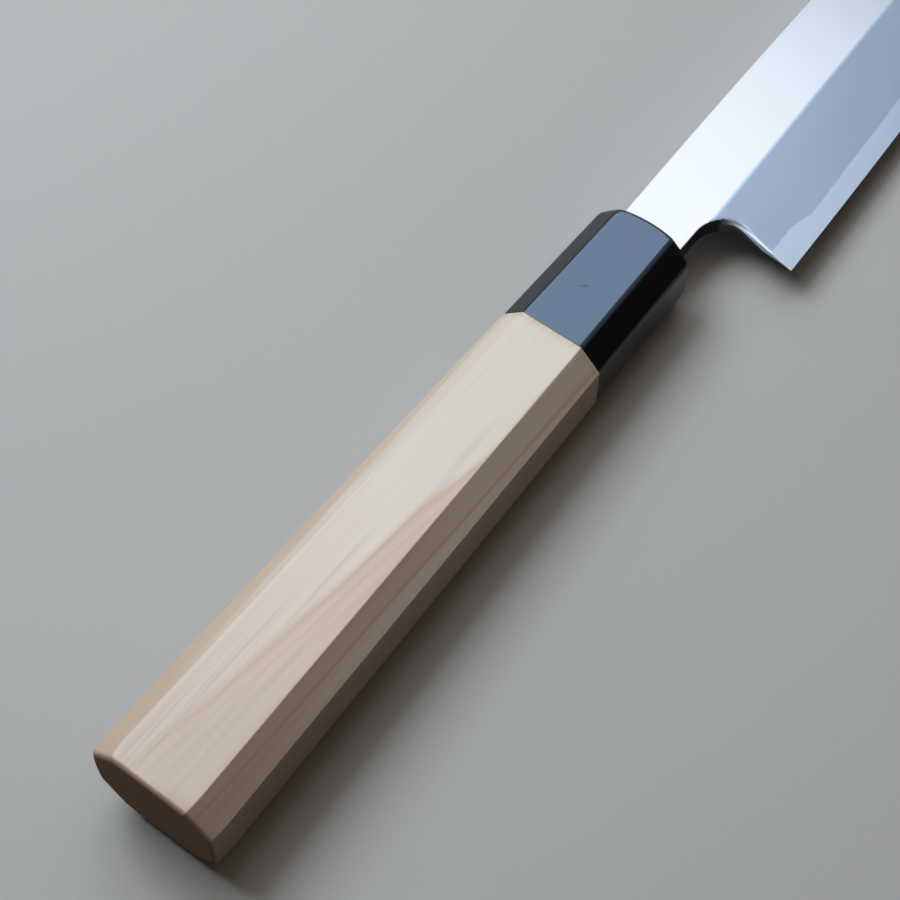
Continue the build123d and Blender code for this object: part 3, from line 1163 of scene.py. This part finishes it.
@dataclass
class BladeSheet:
    """The blade's plan as a sheet of quads that both metals share, so that they meet point to point."""

    lines: BladeLines
    hollow: Hollow
    layer: float = 1.05 * MM
    layer_start: float = 5 * MM
    flat_rows: int = 3
    rim_rows: int = 3
    rim_steps: Pair = (0.1 * MM, 0.3 * MM)
    iron_rows: int = 16
    steel_rows: int = 4
    row_power: float = 1.1
    ridge_soft: float = 0.75 * MM
    soft_after: float = 2 * MM
    room_share: float = 0.35
    swept_share: float = 0.8
    hollow_end: float = 12 * MM
    edge_room: float = 0.25
    arc_angles: Triple = (82.5, 75, 68.5)
    body_steps: tuple[int, ...] = (1, 8, 28, 10, 8, 1, 6, 6)
    fan_steps: tuple[float, ...] = (0.08, 0.25, 0.55, 1.0, 1.5, 2.1, 2.9, 4.0, 5.4, 7.0)

    def __post_init__(self) -> None:
        """Choose the stations of the sheet's columns."""
        lines = self.lines
        self.weld = lines.back + self.layer
        self.steel_station = lines.face + self.layer_start
        self.iron_tip = lines.settle(lambda x: lines.level(x, lines.spine(x)) - self.weld)
        self.fan = self.fan_steps[-1] * MM
        halfway = (self.steel_station + lines.arc_start) / 2
        reaches = [lines.choil_radius * math.cos(math.radians(angle)) for angle in self.arc_angles]
        self.neck = [lines.face, self.steel_station, halfway, lines.arc_start]
        self.neck += [lines.arc_start + reach for reach in reaches]
        self.body = [lines.ridge_start + step * MM for step in (0, *self.fan_steps)]
        stops = (
            self.hollow.first, self.hollow.first + self.hollow_end,
            lines.face + lines.length * self.swept_share, self.hollow.last - self.hollow_end,
            self.hollow.last, lines.crossing, self.iron_tip, lines.tip - lines.blunt,
        )
        for last, steps in zip(stops, self.body_steps):
            first = self.body[-1]
            self.body += [first + (last - first) * (step + 1) / steps for step in range(steps)]
        self.flat_columns = self.neck + [x for x in self.body if x <= lines.crossing + NEAR]

    def flat_heights(self, station: float) -> list[float]:
        """Give the heights of the flat's rows at a station, from the spine to its lower border."""
        high, low = self.lines.spine(station), self.lines.neck_bottom(station)
        room = (high - low) * self.edge_room
        near, far = (min(step, step / self.rim_steps[1] * room) for step in self.rim_steps)
        begun = clamp((station - self.lines.ridge_start) / self.soft_after)
        soft = min(near + (self.ridge_soft - near) * begun, room)
        wide = min(far + (2 * self.ridge_soft - far) * begun, 2 * room)
        span = high - low - far - wide
        inner = [high - far - span * row / self.flat_rows for row in range(self.flat_rows + 1)]
        return [high, high - near, *inner, low + soft, low]

    def rises(self, station: float) -> list[float]:
        """Give how far up the bevel each of its rows lies, from the ridge or the spine to the edge."""
        lines = self.lines
        top = lines.rise(station, lines.spine(station)) if station > lines.crossing else 1.0
        weld = min(top, self.layer / (lines.flat(station) - lines.back))
        shares = [(row / self.iron_rows) ** self.row_power for row in range(self.iron_rows)]
        iron = [top - (top - weld) * share for share in shares]
        return iron + [weld * (1 - row / self.steel_rows) for row in range(self.steel_rows + 1)]

    def bevel_point(self, column: int, row: int) -> Vector:
        """Give the plan place of a bevel point, where the first columns fan out from the choil's wall."""
        lines, base = self.lines, self.body[column]
        station = base
        fade = max(0.0, 1 - (base - lines.ridge_start) / self.fan)
        for _ in range(lines.settle_steps if fade else 1):
            rise = self.rises(station)[row]
            height = lines.edge(station) + rise * (lines.ridge(station) - lines.edge(station))
            station = base + (lines.notch(height) - lines.notch(lines.ridge(base))) * fade
        return Vector((station, height, 0))

    def back_point(self, place: Vector) -> Vector:
        """Give where a point of the back goes, onto the rims round the hollow or into it."""
        lines, x = self.lines, place.x
        room = self.room_share * (min(self.weld, lines.level(x, place.y)) - lines.back)
        eased = Vector((x, place.y, lines.back + lines.ease(place, room)))
        if not self.hollow.first - NEAR < x < self.hollow.last + NEAR:
            return eased
        rows = self.flat_heights(x)[:-1]
        ridge, edge = lines.ridge(x), lines.edge(x)
        rows += [edge + rise * (ridge - edge) for rise in self.rises(x)]
        number = min(range(len(rows)), key=lambda index: abs(rows[index] - place.y))
        first, last = self.rim_rows, len(rows) - self.rim_rows
        if number < first or number == len(rows) - 1:
            return eased
        if number > last:
            return Vector((x, (self.hollow.border(x)[1] + edge) / 2, lines.back))
        return self.hollow.point(x, (number - first) / (last - first))

    def lay(self, name: str, first: float, bevel_rows: int) -> Bench:
        """Lay the sheet out from two grids, at the level of the weld.

        Args:
            name: The name of the piece that it becomes.
            first: The station of its rear end.
            bevel_rows: How many rows the bevel has.

        Returns:
            The bench that holds the flat sheet, with all of it selected.
        """
        stations = [x for x in self.flat_columns if x > first - NEAR]
        columns = [[Vector((x, height, 0)) for height in self.flat_heights(x)] for x in stations]
        size = len(columns) - 1, len(columns[0]) - 1
        bench = Bench(name)
        bench.start_grid(*size)
        self.pull(bench, *size, lambda column, row: columns[column][row])
        bpy.ops.mesh.select_all(action="SELECT")
        bpy.ops.mesh.hide()
        last = self.iron_tip if bevel_rows == self.iron_rows else self.lines.tip
        length = sum(x < last + NEAR for x in self.body) - 1
        bpy.ops.mesh.primitive_grid_add(x_subdivisions=length, y_subdivisions=bevel_rows, size=1)
        self.pull(bench, length, bevel_rows, self.bevel_point)
        bpy.ops.mesh.reveal()
        bench.merge()
        bpy.ops.transform.translate(value=(0, 0, self.weld))
        return bench

    @staticmethod
    def pull(bench: Bench, columns: int, rows: int, point: Callable[[int, int], Vector]) -> None:
        """Pull a unit grid into shape, point by point."""
        shifts = {}
        for corner in bench.mesh().verts:
            if not corner.hide:
                column, row = round((corner.co.x + 0.5) * columns), round((0.5 - corner.co.y) * rows)
                shifts[corner.index] = point(column, row) - corner.co
        bench.shift(shifts)


@dataclass
class Blade:
    """The laminated blade: soft iron with the tang, and the hard steel of the back and the edge."""

    lines: BladeLines
    sheet: BladeSheet
    tang: TangFit
    # The band along the choil's rim that takes the pale wall colour, a painted highlight.
    polished: float = 0.5 * MM
    polished_from: float = -8.4 * MM
    facing: float = 0.8
    bevel_top: float = 0.9999
    iron_room: float = 0.85

    def materials(self) -> list[bpy.types.Material]:
        """Make the materials of the blade's zones, in the order of the zones."""
        lines = self.lines
        foot = (-lines.heel_below, lines.back)
        head = (lines.ridge(lines.choil), lines.flat(lines.choil))
        finishes = {
            BladeZone.FLAT: FlatFinish(),
            BladeZone.BEVEL: BevelFinish(border=self.sheet.weld),
            BladeZone.WALL: WallFinish(foot=foot, head=head),
            BladeZone.BACK: SteelFinish(
                "hollow_back", (0.45, 0.46, 0.48), roughness=0.28, scratch=0.15, haze=0.05
            ),
            BladeZone.TANG: SteelFinish(
                "tang_scale", (0.09, 0.08, 0.075), roughness=0.55, scratch=0.3, haze=0.1
            ),
        }
        return [finishes[zone].material() for zone in BladeZone]

    def paint(self, bench: Bench) -> None:
        """Give every face of a piece the slot of its zone."""
        for face in bench.mesh().faces:
            face.material_index = self.zone(middle(face), face.normal).value
        bmesh.update_edit_mesh(bench.piece.data)

    def zone(self, place: Vector, normal: Vector) -> BladeZone:
        """Name the zone of a face from its place and the way that it faces."""
        if place.x < self.lines.face - NEAR:
            return BladeZone.TANG
        if normal.z < -self.facing:
            return BladeZone.BACK
        # Faces near the choil's rim take the pale wall colour as painted highlight.
        on_painted_highlight_band = place.y < self.polished_from and self.lines.rim_distance(place) < self.polished
        if normal.z < self.facing or on_painted_highlight_band:
            return BladeZone.WALL
        on_bevel = place.x > self.lines.ridge_start and self.lines.rise(place.x, place.y) < self.bevel_top
        return BladeZone.BEVEL if on_bevel else BladeZone.FLAT

    def build(self) -> list[bpy.types.Object]:
        """Model and dress both metals, and give the iron and the steel."""
        materials = self.materials()
        return [self.build_iron(materials), self.build_steel(materials)]

    def build_iron(self, materials: list[bpy.types.Material]) -> bpy.types.Object:
        """Forge the iron: thin and grind its upper face, drop its foot at the neck and draw the tang."""
        lines, weld = self.lines, self.sheet.weld

        def ground(place: Vector) -> Vector:
            """Give where a point of the upper face goes."""
            level = lines.level(place.x, place.y)
            level -= lines.ease(place, self.iron_room * (level - weld))
            return Vector((place.x, place.y, max(weld, level)))

        def foot(face: bmesh.types.BMFace) -> bool:
            """Tell whether a face lies under the neck, behind the steel."""
            return middle(face).x < self.sheet.steel_station and abs(middle(face).z - weld) < NEAR

        bench = self.sheet.lay("soft_iron", lines.face, self.sheet.iron_rows)
        bench.extrude(Vector((0, 0, lines.thickness)))
        bench.place(lambda place: place.z > weld + NEAR, ground)
        bench.merge()
        bench.pick(Kind.FACES, foot)
        bench.extrude(Vector((0, 0, -self.sheet.layer)))
        bench.place(
            lambda place: abs(place.z - lines.back) < NEAR,
            lambda place: Vector((place.x, place.y, lines.back + lines.ease(place, lines.eased))),
        )
        self.draw_tang(bench)
        bench.merge()
        self.paint(bench)
        return bench.finish(*materials)

    def draw_tang(self, bench: Bench) -> None:
        """Draw the tang out of the neck's rear face, with its shoulders."""
        lines = self.lines
        bench.pick_end(lines.face)
        bpy.ops.mesh.dissolve_faces()
        centre = Vector((lines.face, (lines.neck_above - lines.neck_below) / 2, 0))
        neck = (lines.neck_above + lines.neck_below, lines.thickness)
        bench.extrude(Vector((0, 0, 0)))
        bench.resize(self.tang.root[0] / neck[0], self.tang.root[1] / neck[1], centre)
        bpy.ops.transform.translate(value=(0, -centre.y, 0))
        bench.extrude(Vector((-self.tang.length, 0, 0)))
        bench.resize(
            self.tang.tail[0] / self.tang.root[0], self.tang.tail[1] / self.tang.root[1], Vector((0, 0, 0))
        )

    def build_steel(self, materials: list[bpy.types.Material]) -> bpy.types.Object:
        """Forge the steel: grind the hollow of its back, then its share of the bevel."""
        lines, weld = self.lines, self.sheet.weld

        def ground(place: Vector) -> Vector:
            """Give where a point of the upper face goes."""
            level = lines.level(place.x, place.y)
            room = min((weld - level) / 2, self.sheet.room_share * (level - lines.back))
            level -= lines.ease(place, room) if level < weld else 0
            return Vector((place.x, place.y, min(weld, level)))

        bench = self.sheet.lay(
            "hard_steel", self.sheet.steel_station, self.sheet.iron_rows + self.sheet.steel_rows
        )
        bench.extrude(Vector((0, 0, -self.sheet.layer)))
        bench.place(lambda place: place.z < weld - NEAR, self.sheet.back_point)
        bench.place(lambda place: place.z > weld - NEAR, ground)
        bench.merge()
        borders = (self.sheet.hollow.on_border, self.on_weld)
        bench.pick(Kind.EDGES, lambda edge: any(passes(edge, border) for border in borders))
        bpy.ops.mesh.mark_sharp()
        self.paint(bench)
        return bench.finish(*materials)

    def on_weld(self, place: Vector) -> bool:
        """Tell whether a place lies on the line where the weld comes out on the bevel."""
        lines, weld = self.lines, self.sheet.weld
        return abs(place.z - weld) < NEAR and abs(lines.level(place.x, place.y) - weld) < NEAR


@dataclass(frozen=True)
class Lamp:
    """A soft rectangular light, tilted about X and then about Y, with 1 as the radiance of white."""

    name: str
    tilt: Pair
    distance: float
    size: Pair
    radiance: float
    colour: Triple

    def hang(self, over: Vector) -> None:
        """Hang it at its distance from a place, turned from overhead by its tilt in degrees."""
        data = bpy.data.lights.new(self.name, "AREA")
        data.shape = "RECTANGLE"
        data.size, data.size_y = self.size
        data.energy = self.radiance * math.pi * self.size[0] * self.size[1]
        data.color = self.colour
        light = bpy.data.objects.new(self.name, data)
        light.rotation_euler = [math.radians(angle) for angle in (*self.tilt, 0)]
        light.location = over + light.rotation_euler.to_matrix() @ Vector((0, 0, self.distance))
        bpy.context.scene.collection.objects.link(light)


@dataclass
class Studio:
    """The pale floor, the soft lights and the camera."""

    rest_point: Triple = (144.6 * MM, 0, -9.15 * MM)
    rest_slope: float = 1.507
    floor_size: float = 40.0
    floor_colour: Triple = (0.46, 0.452, 0.44)
    floor_speckle: float = 0.97
    floor_grain: Noise = Noise((900, 900, 900))
    floor_roughness: float = 0.7
    floor_gloss: float = 0.2
    far_floor: Triple = (0.38, 0.388, 0.385)
    lamp_reach: Pair = (0.36, 0.95)
    glow_reach: Pair = (0.14, 0.78)
    floor_return: Triple = (0.11, 0.082, 0.058)
    light_side: Triple = (0.42, 0.46, 0.78)
    warm_side: Triple = (1.0, 0.86, 0.72)
    cool_side: Triple = (0.80, 0.90, 1.0)
    sky: Pair = (0.04, 0.6)
    lit: Triple = (120 * MM, 0, 0)
    lamps: tuple[Lamp, ...] = (
        Lamp("overhead", (-27.0, 28.8), 0.86, (0.64, 0.85), 2.25, (0.86, 0.94, 1.0)),
        Lamp("key", (-33.0, -5.0), 0.65, (0.35, 0.35), 7.2, (0.87, 0.94, 1.0)),
        Lamp("fill", (8.0, 5.0), 0.9, (0.8, 0.8), 0.42, (1.0, 0.80, 0.60)),
    )
    target: Triple = (85.71 * MM, 2.76 * MM, 0)
    azimuth: float = 52.895
    elevation: float = 58.909
    distance: float = 373.25 * MM
    lens: float = 80.86
    sensor: float = 36
    nearest: float = 10 * MM

    def build(self) -> None:
        """Set up the whole studio."""
        bpy.context.scene.view_settings.view_transform = "Standard"
        self.lay_floor()
        self.light_world()
        for lamp in self.lamps:
            lamp.hang(Vector(self.lit))
        self.place_camera()

    def lay_floor(self) -> None:
        """Lay the floor under the two places that the knife rests on, the ferrule's rim and the tip.

        Near the knife the lamps light it, and far away it shows its own pale colour, but lights nothing.
        """
        bpy.ops.object.select_all(action="DESELECT")
        bpy.ops.mesh.primitive_plane_add(
            size=self.floor_size, location=self.rest_point, rotation=(0, -math.radians(self.rest_slope), 0)
        )
        floor = bpy.context.object
        floor.name = "floor"
        graph = Graph("floor_paint")
        speckle = tuple(self.floor_speckle * part for part in self.floor_colour)
        seen = graph.blend(graph.noise(self.floor_grain), self.floor_colour, speckle)
        gap = graph.measure("DISTANCE", graph.place, (0, 0, 0))
        looked_at = graph.looked_at()
        near = graph.blend(looked_at, self.floor_return, seen)
        base = graph.blend(graph.span(gap, *self.lamp_reach), near, BLACK)
        glow = graph.maths("MULTIPLY", graph.span(gap, *self.glow_reach), looked_at)
        graph.set(Base_Color=base, Roughness=self.floor_roughness, Specular_IOR_Level=self.floor_gloss)
        graph.set(Emission_Color=self.far_floor, Emission_Strength=glow)
        floor.data.materials.append(graph.material)

    def light_world(self) -> None:
        """Light the world dimly, cool on the lamps' side and warm on the other, where gloss finds it dark."""
        world = bpy.data.worlds.new("studio_world")
        world.use_nodes = True
        bpy.context.scene.world = world
        nodes = Nodes(world.node_tree, "Background")
        towards = nodes.add("ShaderNodeTexCoord").outputs["Generated"]
        facing = nodes.measure("DOT_PRODUCT", towards, self.light_side)
        seen = nodes.maths("MULTIPLY", facing, nodes.looked_at(), clamped=True)
        nodes.set(Color=nodes.blend(facing, self.warm_side, self.cool_side))
        nodes.set(Strength=nodes.maths("MULTIPLY_ADD", seen, self.sky[1] - self.sky[0], self.sky[0]))

    def place_camera(self) -> None:
        """Place the camera at the photograph's viewing angle."""
        azimuth, elevation = math.radians(self.azimuth), math.radians(self.elevation)
        ahead = Vector((math.sin(azimuth), math.cos(azimuth), 0)) * math.cos(elevation)
        look = ahead - Vector((0, 0, math.sin(elevation)))
        camera = bpy.data.objects.new("camera", bpy.data.cameras.new("camera"))
        camera.data.lens = self.lens
        camera.data.sensor_width = self.sensor
        camera.data.clip_start = self.nearest
        camera.location = Vector(self.target) - look * self.distance
        camera.rotation_euler = look.to_track_quat("-Z", "Y").to_euler()
        bpy.context.scene.collection.objects.link(camera)
        bpy.context.scene.camera = camera


def hand_over(piece: bpy.types.Object, node: str) -> None:
    """Put a finished piece in the place of its CAD node, and report how well it fits.

    Args:
        piece: The finished piece.
        node: The name of the CAD node that it stands for.
    """
    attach(piece, BODY)
    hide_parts(node)
    low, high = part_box(node)
    excess = max(
        max(low[axis] - corner[axis], corner[axis] - high[axis])
        for corner in piece.bound_box for axis in range(3)
    )
    log.info("%s: %d faces, %.3f mm past its node's box", piece.name, len(piece.data.polygons), excess / MM)


def main() -> None:
    """Build the knife piece by piece, then the studio round it."""
    logging.basicConfig(level=logging.INFO, format="%(message)s")
    taper, tang = HandleTaper(), TangFit()
    hand_over(WoodHandle(taper, tang).build(), "wood_handle")
    hand_over(HornFerrule(taper).build(), "horn_ferrule")
    hand_over(Seal(taper, tang).build(), "tang_seal")
    lines = BladeLines()
    iron, steel = Blade(lines, BladeSheet(lines, Hollow(lines)), tang).build()
    hand_over(iron, "blade_iron")
    hand_over(steel, "edge_steel")
    Studio().build()


if __name__ == "__main__":
    main()
